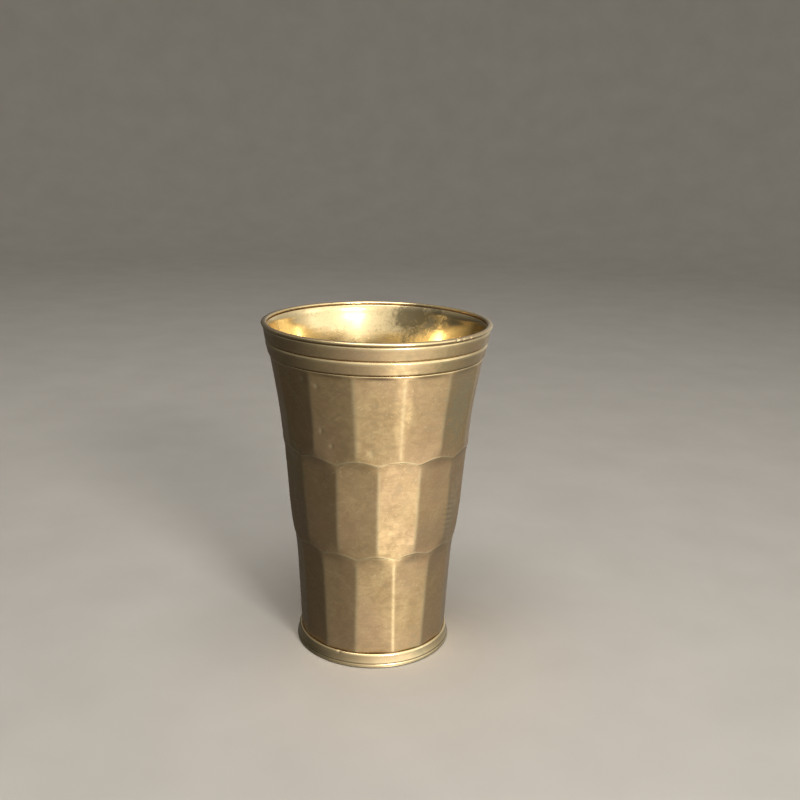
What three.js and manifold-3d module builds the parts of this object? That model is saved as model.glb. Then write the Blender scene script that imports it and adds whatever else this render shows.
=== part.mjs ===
// Pen holder cup in brass: a tapered wall with three tiers of flat facets, finished by a turned
// collar and a rim bead at the top and by a foot ring and a floor plate at the bottom.
// Millimetres, +Z up. The origin is the centre of the face that the cup stands on.
import * as THREE from "three";
import { mergeVertices } from "three/addons/utils/BufferGeometryUtils.js";
import Module from "manifold-3d";

const wasm = await Module();
wasm.setup();

// ---- Driving dimensions -----------------------------------------------------------------

const HEIGHT = 121.5;
const RIM_RADIUS = 41.0; // outside of the rim bead
const FOOT_RADIUS = 28.7;
const FACETS = 14; // flats round the cup in each tier
const ROUND_SEGMENTS = 4 * FACETS; // segments of everything that is round
const FACET_STEP = (2 * Math.PI) / FACETS;
const EDGE_ANGLE = THREE.MathUtils.degToRad(15.6); // one facet edge of the top tier, from -Y to +X
const BRAZE_GAP = 0.05; // film of brazing alloy between two seated faces

// Heights of the two brazed seams.
const FOOT_SEAM_Z = 5.1;
const COLLAR_SEAM_Z = 110.1;

// Undercut at the lower end of a tier: the height where it starts on the flats, and the
// radius that it gains per millimetre of height.
const LOWER_JUNCTION = { z: 42.0, slope: 0.48 };
const UPPER_JUNCTION = { z: 77.2, slope: 0.53 };

// Each tier's radius over its facet edges, as [radius, height] from the bottom up. The upper
// end of a tier runs on inside the next one.
const BOTTOM_TIER = [[27.3, FOOT_SEAM_Z], [27.9, 18], [28.45, 28], [29.0, 36], [29.85, 43], [30.0, 46]];
const MIDDLE_TIER = [[29.5, 36], [30.2, 43], [31.0, 49], [31.6, 54], [32.85, 70], [33.4, 76], [33.75, 79]];
const TOP_TIER = [[33.8, 70], [34.1, 78.5], [34.6, 85], [35.3, 91], [36.75, 100], [38.2, 109.2]];

// The turned bore of the wall and the collar, as [radius, height] from the bottom up.
const BORE = [
  [25.2, 3], [26.2, 20], [27.4, 41], [29.3, 60], [31.2, 77], [32.0, 84], [32.8, 90],
  [34.3, 99], [35.9, 108], [36.8, 112.6], [37.8, 117], [38.4, 119.4], [39.3, 121],
];

// The rim bead is an oval wire, brazed by a flat on its underside.
const BEAD_HALF_WIDTH = 1.0;
const BEAD_HALF_HEIGHT = 0.65;
const BEAD_FLAT_DEG = 20; // half the angle that the flat takes out of the oval

// Spigots on both ends of the wall, and what the lower one clamps.
const FOOT_SPIGOT_RADIUS = 26.3;
const COLLAR_SPIGOT_RADIUS = 37.4;
const COLLAR_SPIGOT_LENGTH = 2.5;
const SHOULDER_RADIUS = 38.1; // round shoulder under the collar
const SHOULDER_HEIGHT = 1.6;
const PLATE_THICKNESS = 1.5;
const LEDGE_Z = 1.75; // ledge inside the foot ring that carries the plate
const LEDGE_INNER_RADIUS = 24.2;
const FILLET_LEG = 1.2;

const PLATE_BOTTOM_Z = LEDGE_Z + BRAZE_GAP;
const PLATE_TOP_Z = PLATE_BOTTOM_Z + PLATE_THICKNESS;
const SPIGOT_TOP_Z = COLLAR_SEAM_Z + COLLAR_SPIGOT_LENGTH;
const BEAD_Z = HEIGHT - BEAD_HALF_HEIGHT;
const BEAD_SEAT_Z = BEAD_Z - BEAD_HALF_HEIGHT * Math.cos(THREE.MathUtils.degToRad(BEAD_FLAT_DEG));

// ---- Geometry helpers --------------------------------------------------------------------

// Turns an outline of [radius, height] pairs, anticlockwise with the radius to the right, about
// +Z. With as few segments as facets it makes flats instead of a round.
function turned(outline, segments = ROUND_SEGMENTS, firstAngle = EDGE_ANGLE) {
  const points = outline.map(([radius, height]) => new THREE.Vector2(radius, height));
  return new THREE.LatheGeometry(points, segments, firstAngle, 2 * Math.PI).rotateX(Math.PI / 2);
}

// Joins both ends of an outline to the axis, so that turning it makes a solid.
function onAxis(outline) {
  return [[0, outline[0][1]], ...outline, [0, outline.at(-1)[1]]];
}

// Joins an outline's end to its start, so that turning it makes a ring.
function ring(outline) {
  return [...outline, outline[0]];
}

// Points on an ellipse; angles in degrees, 0 outwards and 90 upwards, both ends included.
function ellipseArc([radius, height], halfWidth, halfHeight, fromDeg, toDeg, steps) {
  return Array.from({ length: steps + 1 }, (_, i) => {
    const angle = THREE.MathUtils.degToRad(fromDeg + ((toDeg - fromDeg) * i) / steps);
    return [radius + halfWidth * Math.cos(angle), height + halfHeight * Math.sin(angle)];
  });
}

// Radius of an outline at a height between its ends.
function radiusAt(outline, height) {
  const above = outline.findIndex(([, z]) => z > height);
  const [r0, z0] = outline[above - 1];
  const [r1, z1] = outline[above];
  return r0 + ((r1 - r0) * (height - z0)) / (z1 - z0);
}

function boreBetween(low, high) {
  const inside = BORE.filter(([, z]) => z > low && z < high);
  return [[radiusAt(BORE, low), low], ...inside, [radiusAt(BORE, high), high]];
}

function toSolid(geometry) {
  geometry.deleteAttribute("normal");
  geometry.deleteAttribute("uv");
  const merged = mergeVertices(geometry);
  return new wasm.Manifold(new wasm.Mesh({
    numProp: 3,
    vertProperties: new Float32Array(merged.attributes.position.array),
    triVerts: new Uint32Array(merged.index.array),
  }));
}

function toGeometry(solid) {
  const mesh = solid.getMesh();
  const geometry = new THREE.BufferGeometry();
  geometry.setAttribute("position", new THREE.BufferAttribute(mesh.vertProperties, 3));
  geometry.setIndex(new THREE.BufferAttribute(mesh.triVerts, 1));
  geometry.computeVertexNormals();
  return geometry;
}

// ---- Materials ---------------------------------------------------------------------------

function metal(color, roughness) {
  return new THREE.MeshStandardMaterial({ color, roughness, metalness: 1 });
}

const agedBrass = metal(0xb89a68, 0.42);
const turnedBrass = metal(0xc2a56f, 0.33);
const yellowBrass = metal(0xd6c186, 0.28);
const brazingAlloy = metal(0xc9bf9c, 0.45);

// ---- Pieces ------------------------------------------------------------------------------

function tier(outline, firstAngle) {
  return toSolid(turned(onAxis(outline), FACETS, firstAngle));
}

// The cone that undercuts a tier. Cutting flats with a cone leaves an arch at each facet edge.
function undercut(outline, { z, slope }) {
  const flatRadius = radiusAt(outline, z) * Math.cos(FACET_STEP / 2);
  const low = outline[0][1] - 1;
  return toSolid(turned(onAxis([
    [flatRadius + slope * (low - z), low],
    [flatRadius + slope * (HEIGHT - z), HEIGHT],
  ])));
}

// The wall: three tiers of flats, the middle one turned by half a facet, with a round spigot
// at each end and a round bore.
function facetedWall() {
  const middleAngle = EDGE_ANGLE - FACET_STEP / 2;
  const footSpigot = onAxis([
    [FOOT_SPIGOT_RADIUS, PLATE_TOP_Z + BRAZE_GAP],
    [FOOT_SPIGOT_RADIUS, FOOT_SEAM_Z + 1],
  ]);
  const collarSpigot = onAxis([
    [radiusAt(TOP_TIER, COLLAR_SEAM_Z - SHOULDER_HEIGHT) * Math.cos(FACET_STEP / 2),
      COLLAR_SEAM_Z - SHOULDER_HEIGHT],
    [SHOULDER_RADIUS, COLLAR_SEAM_Z],
    [COLLAR_SPIGOT_RADIUS, COLLAR_SEAM_Z],
    [COLLAR_SPIGOT_RADIUS, SPIGOT_TOP_Z],
  ]);
  const middle = tier(MIDDLE_TIER, middleAngle).intersect(undercut(MIDDLE_TIER, LOWER_JUNCTION));
  const top = tier(TOP_TIER, EDGE_ANGLE).intersect(undercut(TOP_TIER, UPPER_JUNCTION));
  const outside = tier(BOTTOM_TIER, EDGE_ANGLE)
    .add(middle)
    .add(top)
    .add(toSolid(turned(footSpigot)))
    .add(toSolid(turned(collarSpigot)));
  const bore = toSolid(turned(onAxis(boreBetween(BORE[0][1], SPIGOT_TOP_Z + 1))));
  return toGeometry(outside.subtract(bore));
}

// The collar: two plain bands parted by a V groove, bored to drop over the wall's upper spigot.
function rimCollar() {
  const seatRadius = COLLAR_SPIGOT_RADIUS + BRAZE_GAP;
  const seatTop = SPIGOT_TOP_Z + BRAZE_GAP;
  const bottom = COLLAR_SEAM_Z + BRAZE_GAP;
  const top = BEAD_SEAT_Z - BRAZE_GAP;
  return turned(ring([
    [seatRadius, bottom],
    [38.2, bottom],
    [38.6, 110.55],
    [39.5, 114.3],
    [38.9, 115.15],
    [39.6, 115.5],
    [40.25, 119.45],
    [39.9, top],
    ...boreBetween(seatTop, top).reverse(),
    [seatRadius, seatTop],
  ]));
}

function rimBead() {
  const centre = [RIM_RADIUS - BEAD_HALF_WIDTH, BEAD_Z];
  const from = BEAD_FLAT_DEG - 90;
  const to = 270 - BEAD_FLAT_DEG;
  return turned(ring(ellipseArc(centre, BEAD_HALF_WIDTH, BEAD_HALF_HEIGHT, from, to, 10)));
}

// The foot ring: a cove above a small bead, with a stepped bore for the plate and the wall.
function footRing() {
  const boreRadius = FOOT_SPIGOT_RADIUS + 2 * BRAZE_GAP;
  const top = FOOT_SEAM_Z - BRAZE_GAP;
  return turned(ring([
    [LEDGE_INNER_RADIUS, 0],
    [FOOT_RADIUS - 0.4, 0],
    [FOOT_RADIUS, 0.4],
    [FOOT_RADIUS, 1.2],
    [28.4, 1.6],
    [28.4, 2.0],
    [28.15, 2.9],
    [27.95, 3.8],
    [27.95, 4.5],
    [27.6, top],
    [boreRadius, top],
    [boreRadius, LEDGE_Z],
    [LEDGE_INNER_RADIUS, LEDGE_Z],
  ]));
}

function basePlate() {
  return turned(onAxis([
    [FOOT_SPIGOT_RADIUS, PLATE_BOTTOM_Z],
    [FOOT_SPIGOT_RADIUS, PLATE_TOP_Z],
  ]));
}

// Brazing alloy run into the inside corner between the plate and the wall.
function floorFillet() {
  const low = PLATE_TOP_Z + BRAZE_GAP;
  const high = low + FILLET_LEG;
  const outer = radiusAt(BORE, low) - BRAZE_GAP;
  const inner = outer - FILLET_LEG;
  const hollowRadius = 0.9 * FILLET_LEG;
  return turned(ring([
    [inner, low],
    [outer, low],
    [outer, high],
    ...ellipseArc([inner, high], hollowRadius, hollowRadius, -25, -65, 2),
  ]));
}

// ---- Assembly ----------------------------------------------------------------------------

const cup = new THREE.Group();

function place(name, geometry, material) {
  const mesh = new THREE.Mesh(geometry, material);
  mesh.name = name;
  cup.add(mesh);
}

place("faceted_wall", facetedWall(), agedBrass);
place("rim_collar", rimCollar(), turnedBrass);
place("rim_bead", rimBead(), turnedBrass);
place("foot_ring", footRing(), yellowBrass);
place("base_plate", basePlate(), turnedBrass);
place("floor_fillet", floorFillet(), brazingAlloy);

export default cup;
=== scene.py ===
import math
from types import SimpleNamespace

import bpy
import numpy as np
from mathutils import Matrix, Vector


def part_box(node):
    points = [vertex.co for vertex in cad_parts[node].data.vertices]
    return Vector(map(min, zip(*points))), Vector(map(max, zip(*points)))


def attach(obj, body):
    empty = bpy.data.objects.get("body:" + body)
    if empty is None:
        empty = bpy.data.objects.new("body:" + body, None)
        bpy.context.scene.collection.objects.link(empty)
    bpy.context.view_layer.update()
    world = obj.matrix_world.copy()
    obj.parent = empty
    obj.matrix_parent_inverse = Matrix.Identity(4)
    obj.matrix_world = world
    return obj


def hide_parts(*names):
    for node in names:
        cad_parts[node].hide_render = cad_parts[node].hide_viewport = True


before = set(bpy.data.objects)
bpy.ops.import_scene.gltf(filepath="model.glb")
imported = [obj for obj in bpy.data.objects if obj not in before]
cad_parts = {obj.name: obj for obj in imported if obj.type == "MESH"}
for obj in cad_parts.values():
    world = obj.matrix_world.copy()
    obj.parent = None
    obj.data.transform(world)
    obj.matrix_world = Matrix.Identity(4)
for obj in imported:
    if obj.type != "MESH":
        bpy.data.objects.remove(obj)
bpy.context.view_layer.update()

# The looks of a brass pen holder cup. The fine meshes below replace the CAD nodes one for one:
# a wall of soft-edged, slightly rounded facets, a turned collar, a rim bead, a foot ring, a floor
# plate and the brazed fillet round it. Sizes are in millimetres until a mesh is written. Angles
# round the axis start at -Y, in front, and grow towards +X.

MM = 0.001


def low_z(node):
    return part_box(node)[0].z / MM


def high_z(node):
    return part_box(node)[1].z / MM


def widest(node):
    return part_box(node)[1].x / MM


# ---- Sizes ------------------------------------------------------------------------------

HEIGHT = high_z("rim_bead")
RIM_RADIUS = widest("rim_bead")
FOOT_RADIUS = widest("foot_ring")
SPIGOT_RADIUS = widest("base_plate")  # of the wall's lower end and of the floor plate
FOOT_SEAM_Z = high_z("foot_ring")
COLLAR_SEAM_Z = low_z("rim_collar")
COLLAR_TOP_Z = high_z("rim_collar")
PLATE_LOW_Z = low_z("base_plate")
PLATE_HIGH_Z = high_z("base_plate")
WALL_LOW_Z = low_z("faceted_wall")
WALL_HIGH_Z = high_z("faceted_wall")
FILLET_LOW_Z = low_z("floor_fillet")
FILLET_HIGH_Z = high_z("floor_fillet")
GAP = 0.05  # film of brazing alloy between two seated faces

FACETS = 14
STEP = 2 * math.pi / FACETS
HALF = STEP / 2
TOP_EDGE_DEG = 15.6  # a facet edge of the top and bottom tiers
TOP_EDGE = math.radians(TOP_EDGE_DEG)
WALL_COLUMNS = 40 * FACETS
TURNED_COLUMNS = 24 * FACETS
FLOOR_COLUMNS = 96
SHARP_DEG = 38  # two faces that meet at more than this are shaded with a sharp edge

# Radius over the facet edges, and of the bore, as [radius, height] from the bottom up.
BOTTOM_TIER = [[27.3, 5.1], [27.9, 18], [28.45, 28], [29.0, 36], [29.85, 43], [30.0, 46]]
MIDDLE_TIER = [[29.5, 36], [30.2, 43], [31.0, 49], [31.6, 54], [32.85, 70], [33.4, 76], [33.75, 79]]
TOP_TIER = [[33.8, 70], [34.12, 78.5], [34.6, 85], [35.3, 91], [36.75, 100], [38.35, 110.1]]
BORE = [
    [25.2, 3], [26.2, 20], [27.4, 41], [29.3, 60], [31.2, 77], [32.0, 84], [32.8, 90],
    [34.3, 99], [35.9, 108], [36.8, 112.6], [37.8, 117], [38.4, 119.4], [39.3, 121],
]
BORE_UNEVENNESS = 0.15  # no point of the bore lies further out than this

# Facets. They were filed by hand, so each one lies a little off its true place.
BULGE = 0.16  # how far a facet rises along its middle
TOP_BULGE = 0.2  # how much more it rises at the top of the cup
OFF_CENTRE = 0.2  # how far all the facets are off centre, towards +X
MOST_SHIFT = 0.06  # how far out or in a facet may lie
MOST_LEAN = 0.006  # how far it may lean out per millimetre of height
MOST_YAW = 0.012  # how far it may be turned aside, in radians
EDGE_SOFTNESS = 0.3
EDGE_WEAR_AND_SHEEN = 0.6  # how worn the edge between two facets is, with painted sheen along it

# Ridges, where an upper tier overhangs a lower one.
LOWER_RIDGE_Z = 42.8  # mean height of the ridge under the middle tier
UPPER_RIDGE_Z = 78.0  # and under the top tier
UPPER_RIDGE_TILT = 0.35  # how far that one is lower at +X and higher at -X
RIDGE_RISE = 0.8  # half the height of a ridge's arches
CUSP = 0.02  # rounds the low points between the arches
RIDGE_SOFTNESS = 0.12
ROUNDING = 2.4  # how far from a ridge the facets have turned flat again
ROUNDED_SHARE = 0.75  # how round they are at the ridge
ROUND_SHARE = 0.988  # a round ring's radius against the radius over the facet edges
LEDGE_SHARE = 0.85  # how much of the overhang is left as a ledge
LEAST_LEDGE = 0.1
SCOOP_LENGTH = 4.2  # how far below a ridge its scoop runs out
BURR = 0.05  # how far the ridge itself stands out
PARTING = 0.3  # how fast the surfaces on the two sides of a ridge part beyond it
JUNCTION_REACH = 4.5  # half the height of the zone that gets a fine mesh

# The wall's upper end, under the collar.
SHOULDER_RADIUS = 38.25
SHOULDER_REACH = 1.1  # how far down the shoulder blends into the facets
LIP_SETBACK = 0.45  # how far in the shoulder's rolled edge is at the seam
LIP_SLOPE = 1.3
LIP_SOFTNESS = 0.3
COLLAR_SPIGOT_RADIUS = 37.4

# Outlines of turned pieces, as [radius, height]: the collar's from its seam up to the bead's
# seat, and the foot's from the table up to its seam.
COLLAR_OUTLINE = [
    [38.2, 0], [38.6, 0.4], [39.5, 4.15], [39.15, 4.75], [38.9, 5.0], [39.62, 5.35], [40.25, 9.3],
]
LOWER_CREST, GROOVE, UPPER_CREST = COLLAR_OUTLINE[2], COLLAR_OUTLINE[4], COLLAR_OUTLINE[6]
BEAD_SEAT_RADIUS = 39.85
FOOT_OUTLINE = [
    [FOOT_RADIUS - 0.4, 0], [FOOT_RADIUS, 0.4], [FOOT_RADIUS, 1.2], [28.4, 1.6], [28.42, 2.0],
    [28.15, 2.9], [27.97, 3.8], [27.93, 4.55], [27.55, FOOT_SEAM_Z],
]
LEDGE_RADIUS = 24.2  # inner radius of the ledge under the floor plate

BEAD_HALF_WIDTH = 1.0
BEAD_HALF_HEIGHT = 0.65
BEAD_FLAT_DEG = 20  # half the angle that the flat underneath takes out of the oval

# ---- Marks and stains -------------------------------------------------------------------

# Each row is a soft round spot: its angle in degrees and its height, the radius of the surface
# there, the spot's size and strength, and how much taller than wide it is. A dent's strength is
# its depth.
WALL_DENTS = [
    (-39.8, 106.5, 37, 0.9, 0.14, 1),
    (-30.8, 105.0, 37, 0.8, 0.16, 1),
    (-30.5, 89.0, 34, 0.6, 0.16, 1.6),
    (-24.5, 84.0, 34, 0.7, 0.16, 1),
    (-1.0, 82.5, 34, 1.1, 0.09, 1),
    (118.0, 63.0, 32, 1.1, 0.12, 1),
    (171.0, 95.0, 35, 0.9, 0.12, 1),
    (-128.0, 28.0, 28, 0.9, 0.1, 1.5),
]
BEAD_NICKS = [
    (41.5, HEIGHT - 0.5, 41, 0.5, 0.32, 1),
    (45.0, HEIGHT - 0.7, 41, 0.4, 0.28, 1),
    (50.5, HEIGHT - 0.6, 41, 0.45, 0.3, 1),
    (-152.0, HEIGHT, 41, 0.6, 0.18, 1),
]
FOOT_NICKS = [
    (-24.0, FOOT_SEAM_Z - 0.3, 27.8, 0.5, 0.25, 1),
    (63.0, 0.9, 28.7, 0.6, 0.15, 1),
]
WORN_EDGE = [(TOP_EDGE_DEG, 98, 36, 6, 1.3, 2.2)]  # where handling has made a facet edge softer
STAINS = [
    (163, 116, 38, 5.5, 0.9, 0.8),
    (150, 118, 38, 6.5, 1.0, 0.8),
    (164, 108, 37, 5.0, 0.4, 1.4),
]
GREEN_PATCHES = [
    (56, 97, 36, 8, 1.0, 1.7),
    (62, 52, 31, 6, 0.6, 1.6),
    (38, 3, 28, 4.5, 1.0, 1),
    (-62, 70, 32, 8, 0.6, 2),
    (150, 60, 31, 12, 0.8, 1.5),
    (-120, 95, 36, 10, 0.7, 1),
]
MARK_WEAR_AND_SHEEN = 7  # how pale a dent is painted, as rubbed wear and a painted glint, per millimetre of its depth
HOLLOW_SHADE = 0.15  # how much painted shade darkens a scoop, per millimetre of its depth
FOOT_SEAM_DIRT_AND_SHADE, COLLAR_SEAM_DIRT_AND_SHADE = 0.35, 0.12  # how far dirt and painted shade reach from a seam

# The chatter of the file on one facet: ribs that slant a little, in a patch of this half size.
CHATTER_DEG, CHATTER_Z, CHATTER_RADIUS = 59, 55, 31.5
CHATTER_HALF_WIDTH, CHATTER_HALF_HEIGHT = 3.5, 6.5
CHATTER_PITCH = 2.0
CHATTER_SLANT = 0.3
CHATTER_DEPTH = 0.075


# ---- Outlines ---------------------------------------------------------------------------

def smooth(points):
    """Radius as a smooth function of height through [radius, height] points."""
    radius, height = np.array(points, float).T
    slope = np.gradient(radius, height)

    def radius_at(z):
        z = np.clip(z, height[0], height[-1])
        i = np.clip(np.searchsorted(height, z, side="right") - 1, 0, len(height) - 2)
        span = height[i + 1] - height[i]
        t = (z - height[i]) / span
        return (
            (1 + 2 * t) * (1 - t) ** 2 * radius[i]
            + t * (1 - t) ** 2 * span * slope[i]
            + t * t * (3 - 2 * t) * radius[i + 1]
            + t * t * (t - 1) * span * slope[i + 1]
        )

    return radius_at


bore_radius = smooth(BORE)


def soften(outline, radius, sharp=0, steps=4):
    """Rounds the corners of a closed outline by at most this radius, but for the last few that
    stay sharp."""
    points = np.array(outline, float)
    soft = []
    for i, corner in enumerate(points):
        if i >= len(points) - sharp:
            soft.append(corner)
            continue
        before, after = points[i - 1], points[(i + 1) % len(points)]
        start, end = (
            corner + way * min(radius / np.linalg.norm(way), 0.45)
            for way in (before - corner, after - corner)
        )
        for t in np.linspace(0, 1, steps + 1):
            soft.append((1 - t) ** 2 * start + 2 * t * (1 - t) * corner + t * t * end)
    return np.array(soft)


def refine(outline, longest, closed=True):
    """Splits the long stretches of an outline."""
    ends = np.roll(outline, -1, 0) if closed else outline[1:]
    fine = []
    for start, end in zip(outline, ends):
        pieces = max(1, math.ceil(np.linalg.norm(end - start) / longest))
        fine += [start + (end - start) * i / pieces for i in range(pieces)]
    if not closed:
        fine.append(outline[-1])
    return np.array(fine)


def ellipse(centre, half_width, half_height, start_deg, end_deg, steps):
    angle = np.radians(np.linspace(start_deg, end_deg, steps))
    return np.stack([
        centre[0] + half_width * np.cos(angle),
        centre[1] + half_height * np.sin(angle),
    ], 1)


def spaced(low, high, step):
    return np.linspace(low, high, max(2, math.ceil((high - low) / step) + 1))


def hump(x, middle, width):
    """1 in the middle, and fading out on both sides of it."""
    return np.exp(-((x - middle) / width) ** 2)


def nearness(r, z, points, reach):
    """1 on the given [radius, height] points of a section, and fading out within reach."""
    near = np.zeros(np.broadcast(r, z).shape)
    for point in points:
        near = np.maximum(near, np.exp(-((r - point[0]) ** 2 + (z - point[1]) ** 2) / reach ** 2))
    return near


# ---- Hand-made unevenness ---------------------------------------------------------------

def waves(theta, z, radius, amplitude, shortest, longest, seed, count=48):
    """A smooth random relief on a round surface, in waves from shortest to longest."""
    rng = np.random.default_rng(seed)
    relief = np.zeros(np.broadcast(theta, z).shape)
    for _ in range(count):
        number = 2 * math.pi / rng.uniform(shortest, longest)
        way = rng.uniform(0, math.pi)
        around = round(number * math.cos(way) * radius)
        along = number * math.sin(way)
        relief += np.cos(around * theta + along * z + rng.uniform(0, 2 * math.pi))
    return relief * amplitude / math.sqrt(count / 2)


def along_surface(theta, at_deg, radius):
    """Distance round a surface of this radius from the given angle, positive towards +X."""
    return ((theta - math.radians(at_deg) + math.pi) % (2 * math.pi) - math.pi) * radius


def spots(theta, z, rows):
    """The sum of soft spots, given as the rows under Marks and stains."""
    total = np.zeros(np.broadcast(theta, z).shape)
    for at_deg, at_z, radius, size, strength, tall in rows:
        across = along_surface(theta, at_deg, radius)
        total += strength * np.exp(-(across ** 2 + ((z - at_z) / tall) ** 2) / size ** 2)
    return total


def wall_marks(theta, z):
    """Depth of the dents, and of the file's chatter."""
    across = along_surface(theta, CHATTER_DEG, CHATTER_RADIUS)
    patch = hump(across, 0, CHATTER_HALF_WIDTH) * hump(z, CHATTER_Z, CHATTER_HALF_HEIGHT)
    ribs = np.sin(2 * math.pi * (z + CHATTER_SLANT * across) / CHATTER_PITCH)
    return spots(theta, z, WALL_DENTS) + CHATTER_DEPTH * patch * ribs


# ---- Facets -----------------------------------------------------------------------------

def soft_min(a, b, softness):
    h = np.clip(softness - np.abs(a - b), 0, None) / softness
    return np.minimum(a, b) - h * h * softness / 4


class Tier:
    """A ring of facets."""

    def __init__(self, outline, first_edge, seed):
        rng = np.random.default_rng(seed)
        self.outline = smooth(outline)
        self.middle = (outline[0][1] + outline[-1][1]) / 2
        self.first_edge = first_edge
        self.shift = rng.uniform(-MOST_SHIFT, MOST_SHIFT, FACETS)
        self.lean = rng.uniform(-MOST_LEAN, MOST_LEAN, FACETS)
        self.yaw = rng.uniform(-MOST_YAW, MOST_YAW, FACETS)

    def flat(self, facet, away, z):
        """Radius of a facet's own surface, at an angle away from its middle."""
        i = facet % FACETS
        faces = self.first_edge + (facet + 0.5) * STEP
        middle = self.outline(z) * math.cos(HALF) + self.shift[i] + self.lean[i] * (z - self.middle)
        middle = middle + OFF_CENTRE * np.sin(faces)
        rise = np.clip((z - UPPER_RIDGE_Z) / (COLLAR_SEAM_Z - UPPER_RIDGE_Z), 0, 1)
        bulge = BULGE + TOP_BULGE * rise
        return middle / np.cos(away - self.yaw[i]) + bulge * (1 - (away / HALF) ** 2)

    def radius(self, theta, z):
        """The surface, and how worn it is as the edge between two facets, with painted sheen, from 0
        to 1.
        """
        place = (theta - self.first_edge) / STEP
        own = np.floor(place).astype(int)
        away = (place - own - 0.5) * STEP
        side = np.where(away < 0, -1, 1)
        here = self.flat(own, away, z)
        beside = self.flat(own + side, away - side * STEP, z)
        edge = EDGE_WEAR_AND_SHEEN * hump(beside, here, 0.7 * EDGE_SOFTNESS)
        softness = EDGE_SOFTNESS + spots(theta, z, WORN_EDGE)
        return soft_min(here, beside, softness), edge


bottom_tier = Tier(BOTTOM_TIER, TOP_EDGE, seed=11)
middle_tier = Tier(MIDDLE_TIER, TOP_EDGE - HALF, seed=5)
top_tier = Tier(TOP_TIER, TOP_EDGE, seed=23)


def arches(theta, first_edge, mean_z, seed):
    """Height of the ridge at a tier's lower end: it rises to an arch at each facet edge."""
    arch = np.sqrt(np.cos(math.pi * (theta - first_edge) / STEP) ** 2 + CUSP)
    uneven = waves(theta, 0, radius=33, amplitude=0.28, shortest=20, longest=70, seed=seed, count=8)
    return mean_z + RIDGE_RISE * (2 * arch - 1) + uneven


def rounded(tier, theta, z, over):
    """A tier's surface, whose facets fade into a round ring near the ridge."""
    r, edge = tier.radius(theta, z)
    near = ROUNDED_SHARE * hump(over, 0, ROUNDING)
    ring = tier.outline(z) * ROUND_SHARE + OFF_CENTRE * np.sin(theta)
    return r + near * (ring - r), edge * (1 - near)


def stepped(lower, upper, theta, z, ridge_z):
    """The surface of a tier above its ridge, and below it a scoop that runs out on the tier
    below. Also how worn a point is, with a painted highlight on the ridge, and how deep it lies in
    the hollow of the scoop, which is painted darker there as shade."""
    over = z - ridge_z
    below, below_edge = rounded(lower, theta, z, over)
    above, above_edge = rounded(upper, theta, z, over)
    overhang = rounded(upper, theta, ridge_z, 0)[0] - rounded(lower, theta, ridge_z, 0)[0]
    ledge = np.clip(LEDGE_SHARE * overhang, LEAST_LEDGE, None)
    scoop = below + ledge * np.clip(1 + over / SCOOP_LENGTH, 0, None) ** 2
    scoop = scoop + PARTING * np.clip(over, 0, None)
    face = above + PARTING * np.clip(-over, 0, None)
    burr = BURR * hump(over, 0.3, 0.3)
    # A pale line along the ridge: partly wear, partly a painted highlight.
    ridge_wear_and_sheen = hump(over, 0.15, 0.35)
    edge = np.maximum(np.where(over < 0, below_edge, above_edge), ridge_wear_and_sheen)
    # How deep a point lies in the scoop under the overhang; this sets the painted shade there.
    hollow = ledge * hump(over, -0.9, 0.8)
    return soft_min(face, scoop, RIDGE_SOFTNESS) + burr, edge, hollow


def wall_surface(theta, z):
    """Radius of the wall's outside, how worn it is with painted sheen, and how deep it lies in a
    scoop, where shade is painted.
    """
    lower_z = arches(theta, middle_tier.first_edge, LOWER_RIDGE_Z, seed=3)
    upper_z = arches(theta, top_tier.first_edge, UPPER_RIDGE_Z, seed=9)
    upper_z = upper_z - UPPER_RIDGE_TILT * np.sin(theta)
    lower = stepped(bottom_tier, middle_tier, theta, z, lower_z)
    upper = stepped(middle_tier, top_tier, theta, z, upper_z)
    halfway = (LOWER_RIDGE_Z + UPPER_RIDGE_Z) / 2
    r, edge, hollow = (np.where(z < halfway, a, b) for a, b in zip(lower, upper))
    shoulder = hump(z, COLLAR_SEAM_Z, SHOULDER_REACH)
    r = r + shoulder * (SHOULDER_RADIUS - r)
    lip = SHOULDER_RADIUS - LIP_SETBACK - LIP_SLOPE * (z - COLLAR_SEAM_Z)
    # The rolled lip under the collar is painted pale: partly wear, partly a painted highlight.
    rolled = hump(z, COLLAR_SEAM_Z - 0.35, 0.3)
    return soft_min(r, lip, LIP_SOFTNESS), np.maximum(edge * (1 - shoulder), rolled), hollow


# ---- Meshes -----------------------------------------------------------------------------

def link(name, data):
    made = bpy.data.objects.new(name, data)
    bpy.context.scene.collection.objects.link(made)
    return made


def angles(columns):
    return np.arange(columns) * 2 * math.pi / columns


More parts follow.
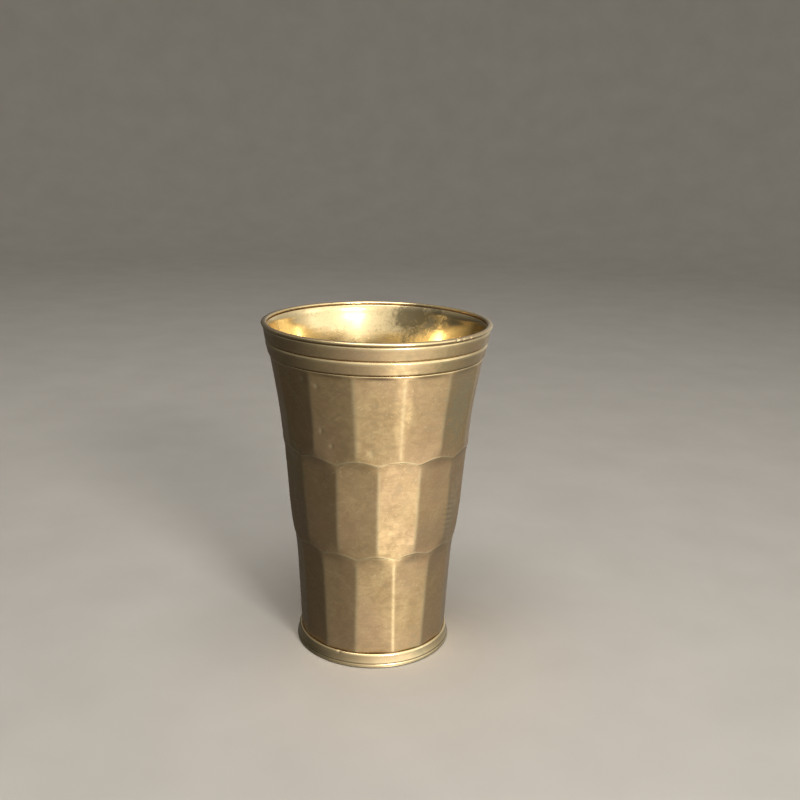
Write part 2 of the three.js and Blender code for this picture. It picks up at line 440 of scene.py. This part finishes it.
def loft(name, theta, r, z, closed=True, **attributes):
    """A mesh from rows of points round the axis, with its angles along a row and its radii and
    heights from row to row. A closed section joins its last row to its first; an open one is
    closed on the axis at both ends."""
    theta, r, z = np.broadcast_arrays(theta, r, z)
    points = np.stack([r * np.sin(theta), -r * np.cos(theta), z], -1).reshape(-1, 3)
    index = np.arange(r.size).reshape(r.shape)
    start = index if closed else index[:-1]
    end = np.roll(index, -1, 0) if closed else index[1:]
    quads = np.stack([start, np.roll(start, -1, 1), np.roll(end, -1, 1), end], -1)
    faces = quads.reshape(-1, 4).tolist()
    poles = []
    if not closed:
        poles = [[0, 0, z[0, 0]], [0, 0, z[-1, 0]]]
        first, last = len(points), len(points) + 1
        faces += [[first, b, a] for a, b in zip(index[0], np.roll(index[0], -1))]
        faces += [[last, a, b] for a, b in zip(index[-1], np.roll(index[-1], -1))]
        points = np.concatenate([points, poles])
    mesh = bpy.data.meshes.new(name)
    mesh.from_pydata((points * MM).tolist(), [], faces)
    for key, values in attributes.items():
        flat = np.broadcast_to(values, r.shape).ravel()
        flat = np.concatenate([flat, np.zeros(len(poles))])
        layer = mesh.attributes.new(key, "FLOAT", "POINT")
        layer.data.foreach_set("value", flat.astype(np.float32))
    mesh.polygons.foreach_set("use_smooth", [True] * len(mesh.polygons))
    mesh.set_sharp_from_angle(angle=math.radians(SHARP_DEG))
    mesh.validate()
    return link(name, mesh)


def tarnish_layers(theta, r, z):
    """Where the metal is inside the cup, stained there, and green with patina outside."""
    inside = (r < bore_radius(z) + BORE_UNEVENNESS) & (z > PLATE_HIGH_Z - GAP)
    return {
        "inside": inside.astype(float),
        "stain": np.clip(spots(theta, z, STAINS), 0, 1),
        "patina": np.clip(spots(theta, z, GREEN_PATCHES), 0, 1),
    }


def wall_levels():
    """Heights of the rows outside, closer together where two tiers meet and under the collar."""
    levels = [FOOT_SEAM_Z + GAP]
    for top, step in [
        (LOWER_RIDGE_Z - JUNCTION_REACH, 0.5),
        (LOWER_RIDGE_Z + JUNCTION_REACH, 0.15),
        (UPPER_RIDGE_Z - JUNCTION_REACH, 0.3),
        (UPPER_RIDGE_Z + JUNCTION_REACH, 0.15),
        (COLLAR_SEAM_Z - 1.5, 0.45),
        (COLLAR_SEAM_Z - GAP, 0.08),
    ]:
        levels.extend(spaced(levels[-1], top, step)[1:])
    return np.array(levels)


def make_wall():
    theta = angles(WALL_COLUMNS)
    outer_z = wall_levels()[:, None]
    surface, edge, hollow = wall_surface(theta, outer_z)
    marks = wall_marks(theta, outer_z)
    uneven = waves(theta, outer_z, radius=33, amplitude=0.018, shortest=7, longest=22, seed=8)
    # Dirt and painted shade in bands along the foot and collar seams.
    seams = hump(outer_z, FOOT_SEAM_Z, FOOT_SEAM_DIRT_AND_SHADE)
    seams = seams + hump(outer_z, COLLAR_SEAM_Z, COLLAR_SEAM_DIRT_AND_SHADE)

    inner_z = spaced(WALL_LOW_Z, WALL_HIGH_Z, 1.2)[::-1, None]
    inner = bore_radius(inner_z)
    inner = inner + waves(theta, inner_z, radius=31, amplitude=0.03, shortest=12, longest=45, seed=17)

    # From the lower spigot up the outside, over the upper spigot and down the bore.
    round_rows = np.ones((2, WALL_COLUMNS))
    r = np.concatenate([
        SPIGOT_RADIUS * round_rows, surface - marks + uneven, COLLAR_SPIGOT_RADIUS * round_rows,
        inner,
    ])
    z = np.concatenate([
        [[WALL_LOW_Z], [FOOT_SEAM_Z + GAP]], outer_z, [[COLLAR_SEAM_Z - GAP], [WALL_HIGH_Z]], inner_z,
    ])
    outside = slice(len(round_rows), len(round_rows) + len(outer_z))
    wear, grime = np.zeros_like(r), np.zeros_like(r)
    # Outside, pale with wear and painted sheen on facet edges, ridges, the lip and dents.
    wear[outside] = np.clip(edge + MARK_WEAR_AND_SHEEN * np.clip(marks, 0, None), 0, 1)
    # Outside, dark with dirt and painted shade in the scoops and along the seams.
    grime[outside] = np.clip(HOLLOW_SHADE * hollow + seams, 0, 1)
    return loft("wall", theta, r, z, wear=wear, grime=grime, **tarnish_layers(theta, r, z))


def turned(name, outline, crests=(), crevices=(), relief=None, columns=TURNED_COLUMNS,
           closed=True):
    """A piece turned on the lathe, worn and painted with sheen at its crests, and darkened with dirt
    and painted shade in its crevices.
    """
    theta = angles(columns)
    r, z = outline[:, :1], outline[:, 1:]
    layers = {
        # Wear and painted sheen at the crests.
        "wear": nearness(r, z, crests, 0.4),
        # Dirt and painted shade in the crevices.
        "grime": nearness(r, z, crevices, 0.2),
        **tarnish_layers(theta, r, z),
    }
    if relief is not None:
        r, z = relief(theta, r, z)
    return loft(name, theta, r, z, closed, **layers)


def above_collar_seam(point):
    return [point[0], COLLAR_SEAM_Z + point[1]]


def make_collar():
    seat_radius = COLLAR_SPIGOT_RADIUS + GAP
    seat_top = WALL_HIGH_Z + 0.01
    bore_z = [COLLAR_TOP_Z, *spaced(seat_top, COLLAR_TOP_Z - 0.3, 0.7)[::-1]]
    bore = [[float(bore_radius(z)), z] for z in bore_z]
    bead_seat = [BEAD_SEAT_RADIUS, COLLAR_TOP_Z]
    outline = [
        [seat_radius, COLLAR_SEAM_Z],
        *[above_collar_seam(point) for point in COLLAR_OUTLINE],
        bead_seat, *bore, [seat_radius, seat_top],
    ]
    lower, upper = above_collar_seam(LOWER_CREST), above_collar_seam(UPPER_CREST)
    crests = [lower, [39.35, lower[1] + 0.3], upper, [40.1, upper[1] + 0.3]]
    crevices = [above_collar_seam(GROOVE), bead_seat, [38.1, COLLAR_SEAM_Z]]
    kept_sharp = len(bore)  # the bore below its top corner, and the top of the seat
    section = refine(soften(outline, 0.16, sharp=kept_sharp), 0.8)

    def relief(theta, r, z):
        return r + waves(theta, z, radius=39, amplitude=0.02, shortest=14, longest=50, seed=31), z

    return turned("collar", section, crests, crevices, relief)


def make_bead():
    centre = [RIM_RADIUS - BEAD_HALF_WIDTH, HEIGHT - BEAD_HALF_HEIGHT]
    section = ellipse(centre, BEAD_HALF_WIDTH, BEAD_HALF_HEIGHT, BEAD_FLAT_DEG - 90,
                      270 - BEAD_FLAT_DEG, 25)

    def relief(theta, r, z):
        push = spots(theta, z, BEAD_NICKS)
        outward = (r - centre[0]) / BEAD_HALF_WIDTH
        return r - push * np.clip(outward, 0, 1), z - 0.6 * push

    crests = [[centre[0], HEIGHT], [RIM_RADIUS, centre[1]]]
    crevices = [section[0]]
    return turned("bead", section, crests, crevices, relief, columns=2 * TURNED_COLUMNS)


def make_foot():
    bore = SPIGOT_RADIUS + 2 * GAP
    ledge_z = PLATE_LOW_Z - GAP
    outline = [
        [LEDGE_RADIUS, 0], *FOOT_OUTLINE, [bore, FOOT_SEAM_Z], [bore, ledge_z],
        [LEDGE_RADIUS, ledge_z],
    ]
    crests = [[FOOT_RADIUS, 0.8], [28.42, 2.0], [27.85, 4.8]]
    crevices = [[28.42, 1.65], [26.9, FOOT_SEAM_Z]]
    section = refine(soften(outline, 0.22), 0.4)

    def relief(theta, r, z):
        return r - spots(theta, z, FOOT_NICKS) * (r > bore + 0.1), z

    return turned("foot", section, crests, crevices, relief)


def make_plate():
    top, bottom, edge = PLATE_HIGH_Z, PLATE_LOW_Z, SPIGOT_RADIUS
    middle, bevel = 0.4, 0.2
    outline = np.array([
        [middle, bottom], [edge - bevel, bottom], [edge, bottom + bevel],
        [edge, top - bevel], [edge - bevel, top], [middle, top],
    ])
    return turned("plate", refine(outline, 1.0, closed=False), closed=False)


def make_fillet():
    low, high = FILLET_LOW_Z, FILLET_HIGH_Z
    outer = float(bore_radius(low)) - GAP
    leg = high - low
    hollow = ellipse([outer - leg, high], 0.9 * leg, 0.9 * leg, -8, -82, 6)
    outline = np.array([[outer - leg, low], [outer, low], [outer, high], *hollow])

    def relief(theta, r, z):
        ripple = waves(theta, z, radius=25, amplitude=0.07, shortest=2.5, longest=9, seed=41, count=24)
        return np.minimum(r + ripple, outer), z

    return turned("fillet", refine(outline, 0.3), relief=relief)


# ---- Materials --------------------------------------------------------------------------

class Nodes:
    """Builds a material. An input is a number, a colour or another node's output."""

    def __init__(self, name):
        self.material = bpy.data.materials.new(name)
        self.material.use_nodes = True
        self.tree = self.material.node_tree
        self.tree.nodes.clear()
        self.place = self.add("TexCoord", output="Object")

    def add(self, kind, inputs=None, output=0, **settings):
        """Adds a shader node of this kind and returns one of its outputs."""
        node = self.tree.nodes.new("ShaderNode" + kind)
        for key, value in settings.items():
            setattr(node, key, value)
        for key, value in (inputs or {}).items():
            if isinstance(value, bpy.types.NodeSocket):
                self.tree.links.new(value, node.inputs[key])
            else:
                node.inputs[key].default_value = value
        return node.outputs[output]

    def noise(self, size, stretch=(1, 1, 1), detail=3.0, seed=0.0, turn=(0, 0, 0), swirl=0.0):
        """Noise with spots of this size in millimetres, from about 0.3 to 0.7."""
        at = self.add("Mapping", {"Vector": self.place, "Rotation": turn})
        offset = (seed, 0.37 * seed, 0)
        at = self.add("Mapping", {"Vector": at, "Scale": stretch, "Location": offset})
        inputs = {"Vector": at, "Scale": 1 / (size * MM), "Detail": detail, "Distortion": swirl}
        return self.add("TexNoise", inputs)

    def fit(self, value, low, high, to_low=0.0, to_high=1.0):
        """Maps low to to_low and high to to_high, and goes no further than those two."""
        return self.add("MapRange", {
            "Value": value, "From Min": low, "From Max": high, "To Min": to_low, "To Max": to_high,
        })

    def math(self, operation, a, b):
        return self.add("Math", {0: a, 1: b}, operation=operation)

    def plus(self, a, b):
        return self.math("ADD", a, b)

    def times(self, a, b):
        return self.math("MULTIPLY", a, b)

    def mix(self, share, a, b):
        """A mix of two colours. The node keeps them on sockets 6 and 7, and on output 2."""
        return self.add("Mix", {0: share, 6: a, 7: b}, output=2, data_type="RGBA")

    def mix_numbers(self, share, a, b):
        return self.add("Mix", {0: share, 2: a, 3: b})

    def layer(self, name):
        return self.add("Attribute", output="Fac", attribute_name=name)

    def finished(self, inputs):
        shader = self.add("BsdfPrincipled", inputs)
        output = self.tree.nodes.new("ShaderNodeOutputMaterial")
        self.tree.links.new(shader, output.inputs["Surface"])
        return self.material


# How much a pattern is packed along X, Y and Z: below 1 it is drawn out.
BRUSHED = (0.2, 0.2, 1)
ROUND = (0.012, 0.012, 1)
MOTTLED = (0.7, 0.7, 1)
EVEN = (1, 1, 1)
SCRATCHED = (1, 1, 0.035)

CLEAN = (0.76, 0.56, 0.29, 1)
YELLOW = (0.80, 0.65, 0.36, 1)
PALE = (0.86, 0.71, 0.41, 1)
INNER = (0.88, 0.71, 0.40, 1)
BROWN = (0.42, 0.28, 0.14, 1)
ROSE = (0.64, 0.43, 0.27, 1)
OLIVE = (0.47, 0.38, 0.20, 1)
GREEN = (0.55, 0.50, 0.31, 1)
# Near black: the colour of dirt and of painted shade in crevices, scoops and seams.
DIRT_AND_SHADE = (0.045, 0.032, 0.016, 1)
STAIN = (0.20, 0.17, 0.10, 1)


def scratches(n, seed):
    """Thin slanting lines, in two directions."""
    one, other = (
        n.fit(n.noise(0.5, SCRATCHED, detail=1, seed=seed + shift, turn=turn), 0.66, 0.76)
        for turn, shift in (((0.7, 0.6, 0), 0.0), ((-0.5, -0.8, 0.3), 2.0))
    )
    return n.math("MAXIMUM", one, other)


def patterns(n, lines, line_size, seed):
    """What the colour, the roughness and the relief share: the mesh's own layers, and noises
    from the widest to the finest. Line and ring are bare noise, and the rest lie in 0 to 1."""
    # Noise that breaks up the wear and painted sheen.
    wear_breaks = n.fit(n.noise(4, seed=seed + 8), 0.35, 0.62, 0.5, 1.0)
    return SimpleNamespace(
        wear=n.times(n.layer("wear"), wear_breaks),
        # Dirt and painted shade.
        grime=n.layer("grime"),
        inside=n.layer("inside"),
        stain=n.layer("stain"),
        patina=n.layer("patina"),
        cloud=n.fit(n.noise(22, detail=3, seed=seed + 3), 0.38, 0.62),
        blotch=n.fit(n.noise(9, detail=5, seed=seed, swirl=0.6), 0.36, 0.66),
        mottle=n.fit(n.noise(2.4, MOTTLED, detail=5, seed=seed + 5, swirl=1.0), 0.36, 0.66),
        speckle=n.fit(n.noise(1.2, detail=5, seed=seed + 4, swirl=0.5), 0.36, 0.66),
        fleck=n.fit(n.noise(0.6, detail=1, seed=seed + 11), 0.64, 0.70, 0.0, 0.6),
        grain=n.fit(n.noise(0.45, detail=2, seed=seed + 6), 0.35, 0.7),
        line=n.noise(line_size, lines, detail=4, seed=seed + 7),
        ring=n.noise(0.5, ROUND, detail=3, seed=seed + 9),
    )


def outside_colour(n, p, clean, tarnish, tarnished):
    """Tarnish in blotches, rosy clouds and green patina, and pale where the metal is worn, partly as
    painted sheen.
    """
    share = n.plus(n.times(p.blotch, 0.7 * tarnished), n.times(p.mottle, 0.75 * tarnished))
    green = n.fit(n.plus(p.patina, n.fit(p.mottle, 0, 1, -0.45, 0.3)), 0.1, 0.9)
    colour = n.mix(share, clean, tarnish)
    colour = n.mix(n.times(p.cloud, 0.8 * tarnished), colour, ROSE)
    colour = n.mix(n.times(green, 0.75), colour, GREEN)
    colour = n.mix(n.times(p.fleck, green), colour, PALE)
    colour = n.mix(n.fit(p.line, 0.3, 0.7, 0.0, 0.15), colour, BROWN)
    colour = n.mix(n.times(p.grain, 0.12), colour, BROWN)
    # Pale where worn, and as painted sheen on edges, ridges and crests.
    return n.mix(n.times(p.wear, 0.85), colour, PALE)


def outside_roughness(n, p, roughness):
    rough = n.fit(p.blotch, 0, 1, roughness - 0.05, roughness + 0.06)
    rough = n.plus(rough, n.fit(p.line, 0.3, 0.7, -0.04, 0.04))
    rough = n.plus(rough, n.fit(p.mottle, 0, 1, -0.03, 0.03))
    return n.plus(rough, n.times(p.wear, -0.12))


def inside_look(n, p, clean):
    """Colour and roughness in the bore: yellower and smoother, but for the dark stain."""
    spread = n.times(n.times(p.stain, p.inside), n.fit(p.blotch, 0, 0.75, 0.35, 1.6))
    spread = n.fit(n.plus(spread, n.fit(p.speckle, 0, 1, -0.35, 0.3)), 0.1, 0.95)
    colour = n.mix(n.times(p.blotch, 0.35), INNER, clean)
    colour = n.mix(n.fit(p.ring, 0.35, 0.7, 0.0, 0.15), colour, OLIVE)
    colour = n.mix(n.times(spread, 0.9), colour, STAIN)
    rough = n.plus(n.fit(p.blotch, 0, 1, 0.12, 0.20), n.times(spread, 0.2))
    return colour, rough


def brass(name, clean, tarnish, roughness, lines, line_size, line_depth, anisotropy=0.0,
          tarnished=0.5, scratched=0.0, seed=0.0):
    """Aged brass with fine tool lines, pale with wear and painted sheen where it is handled, and
    darkened with dirt and painted shade in crevices.
    """
    n = Nodes(name)
    p = patterns(n, lines, line_size, seed)
    inner_colour, inner_rough = inside_look(n, p, clean)
    colour = n.mix(p.inside, outside_colour(n, p, clean, tarnish, tarnished), inner_colour)
    # Dark with dirt and painted shade in crevices, scoops and seams.
    colour = n.mix(n.times(p.grime, 0.85), colour, DIRT_AND_SHADE)
    rough = n.mix_numbers(p.inside, outside_roughness(n, p, roughness), inner_rough)
    rough = n.plus(rough, n.times(p.grime, 0.25))
    height = n.plus(n.times(p.line, line_depth), n.times(p.mottle, 0.35 * line_depth))
    if scratched:
        scratch = n.times(scratches(n, seed), scratched)
        colour = n.mix(n.times(scratch, 0.5), colour, PALE)
        height = n.plus(height, n.times(scratch, -0.35 * line_depth))
    height = n.times(height, n.fit(p.inside, 0, 1, 1.0, 0.25))
    bump = n.add("Bump", {"Height": height, "Strength": 1.0, "Distance": MM})
    inputs = {"Base Color": colour, "Metallic": 1.0, "Roughness": rough, "Normal": bump}
    if anisotropy:
        tangent = n.add("Tangent", direction_type="RADIAL", axis="Z")
        inputs |= {"Anisotropic": anisotropy, "Tangent": tangent}
    return n.finished(inputs)


# ---- Stage ------------------------------------------------------------------------------

# The surroundings that the metal mirrors, as soft glows: azimuth and elevation in degrees,
# sharpness and strength. Azimuth 0 is in front, 90 to the right.
GLOWS = [
    (34, -20, 3.9, 0.98),
    (34, -46, 60, 2.4),
    (-26, -30, 3.0, 0.32),
    (105, -5, 2.0, 0.36),
    (-150, -20, 1.5, 0.08),
    (155, 8, 10, 0.5),
    (50, 42, 2.0, 1.0),
    (10, 32, 3.0, 0.3),
    (80, 20, 60, 0.8),
    (0, 80, 1.2, 0.55),
]
GLOW_COLOUR = (1.0, 0.96, 0.90, 1)
FLOOR_SHADE = (0.59, 0.57, 0.535, 1)
FLOOR_TINT = (0.63, 0.61, 0.575, 1)

CAMERA_PLACE = (0.00868, -0.3495, 0.18665)  # in metres
CAMERA_DOWN_DEG = 15.117
CAMERA_ROLL_DEG = 1.205
SENSOR_MM = 36
LENS_MM = 45


def direction(azimuth, elevation):
    a, e = math.radians(azimuth), math.radians(elevation)
    return Vector((math.sin(a) * math.cos(e), -math.cos(a) * math.cos(e), math.sin(e)))


def add_camera():
    data = bpy.data.cameras.new("camera")
    data.sensor_width = SENSOR_MM
    data.lens = LENS_MM
    camera = link("camera", data)
    camera.location = CAMERA_PLACE
    camera.rotation_mode = "XYZ"
    tilt = Matrix.Rotation(math.radians(90 - CAMERA_DOWN_DEG), 3, "X")
    roll = Matrix.Rotation(math.radians(CAMERA_ROLL_DEG), 3, "Z")
    camera.rotation_euler = (tilt @ roll).to_euler()
    bpy.context.scene.camera = camera


def add_floor():
    """A pale floor that curves up into a wall all round, under a ceiling. Mirror images in the
    metal come from the world instead, so the floor is left out of them."""
    flat, cove, high = 1100.0, 500.0, 1700.0
    arc = [[flat + cove * math.sin(t), cove - cove * math.cos(t)]
           for t in np.linspace(0, math.pi / 2, 16)]
    outline = np.array([[1, 0], [flat / 2, 0], *arc, [flat + cove, high]])
    floor = loft("floor", angles(FLOOR_COLUMNS), outline[:, :1], outline[:, 1:], closed=False)
    floor.visible_glossy = False
    n = Nodes("pale_floor")
    tone = n.fit(n.noise(40, detail=3), 0.3, 0.7)
    colour = n.mix(tone, FLOOR_SHADE, FLOOR_TINT)
    floor.data.materials.append(n.finished({
        "Base Color": colour, "Roughness": 0.9, "Specular IOR Level": 0.2,
    }))


def add_light(name, azimuth, elevation, distance, size, power, colour):
    """A soft light that aims at the middle of the cup. Its distance, its width and its height
    are in metres, and its power in watts."""
    data = bpy.data.lights.new(name, "AREA")
    data.shape = "RECTANGLE"
    data.size, data.size_y = size
    data.energy = power
    data.color = colour
    light = link(name, data)
    way = direction(azimuth, elevation)
    light.location = Vector((0, 0, HEIGHT * MM / 2)) + way * distance
    light.rotation_euler = way.to_track_quat("Z", "Y").to_euler()


def add_world():
    """What the metal mirrors: bright to the right of the viewer, dark on the left."""
    world = bpy.data.worlds.new("studio")
    bpy.context.scene.world = world
    world.use_nodes = True
    tree = world.node_tree
    way = tree.nodes.new("ShaderNodeTexCoord").outputs["Generated"]

    def step(operation, a, b):
        node = tree.nodes.new("ShaderNodeMath")
        node.operation = operation
        tree.links.new(a, node.inputs[0])
        if isinstance(b, bpy.types.NodeSocket):
            tree.links.new(b, node.inputs[1])
        else:
            node.inputs[1].default_value = b
        return node.outputs[0]

    total = None
    for azimuth, elevation, sharpness, strength in GLOWS:
        dot = tree.nodes.new("ShaderNodeVectorMath")
        dot.operation = "DOT_PRODUCT"
        dot.inputs[1].default_value = direction(azimuth, elevation)
        tree.links.new(way, dot.inputs[0])
        facing = step("MAXIMUM", dot.outputs["Value"], 0)
        glow = step("MULTIPLY", step("POWER", facing, sharpness), strength)
        total = glow if total is None else step("ADD", total, glow)
    background = tree.nodes["Background"]
    background.inputs["Color"].default_value = GLOW_COLOUR
    tree.links.new(total, background.inputs["Strength"])


# ---- Scene ------------------------------------------------------------------------------

add_camera()
add_world()
add_floor()
add_light("key", 29, 26.5, distance=0.8, size=(0.18, 0.10), power=3.0, colour=(1.0, 0.95, 0.88))
add_light("overhead", -10, 78, distance=1.0, size=(0.7, 0.7), power=6.0, colour=(1.0, 0.97, 0.93))

wall_brass = brass("wall_brass", CLEAN, BROWN, roughness=0.37, lines=BRUSHED, line_size=0.7,
                   line_depth=0.014, tarnished=0.6, scratched=1.0)
collar_brass = brass("collar_brass", CLEAN, OLIVE, roughness=0.32, lines=ROUND, line_size=0.3,
                     line_depth=0.012, anisotropy=0.3, tarnished=0.75, scratched=0.6, seed=20)
bead_brass = brass("bead_brass", CLEAN, OLIVE, roughness=0.30, lines=ROUND, line_size=0.4,
                   line_depth=0.006, scratched=0.5, seed=30)
foot_brass = brass("foot_brass", PALE, CLEAN, roughness=0.28, lines=ROUND, line_size=0.3,
                   line_depth=0.012, anisotropy=0.3, scratched=0.4, seed=40)
plate_brass = brass("plate_brass", CLEAN, BROWN, roughness=0.36, lines=EVEN, line_size=0.6,
                    line_depth=0.02, seed=50)
fillet_brass = brass("fillet_brass", YELLOW, OLIVE, roughness=0.38, lines=EVEN, line_size=0.8,
                     line_depth=0.03, seed=60)

for piece, node, material, slot in [
    (make_wall(), "faceted_wall", wall_brass, "aged_brass"),
    (make_collar(), "rim_collar", collar_brass, "turned_brass"),
    (make_bead(), "rim_bead", bead_brass, "bead_brass"),
    (make_foot(), "foot_ring", foot_brass, "yellow_brass"),
    (make_plate(), "base_plate", plate_brass, "plate_brass"),
    (make_fillet(), "floor_fillet", fillet_brass, "brazing_alloy"),
]:
    piece.data.materials.append(material)
    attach(piece, "root")
    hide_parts(node)

bpy.context.scene.view_settings.view_transform = "Standard"
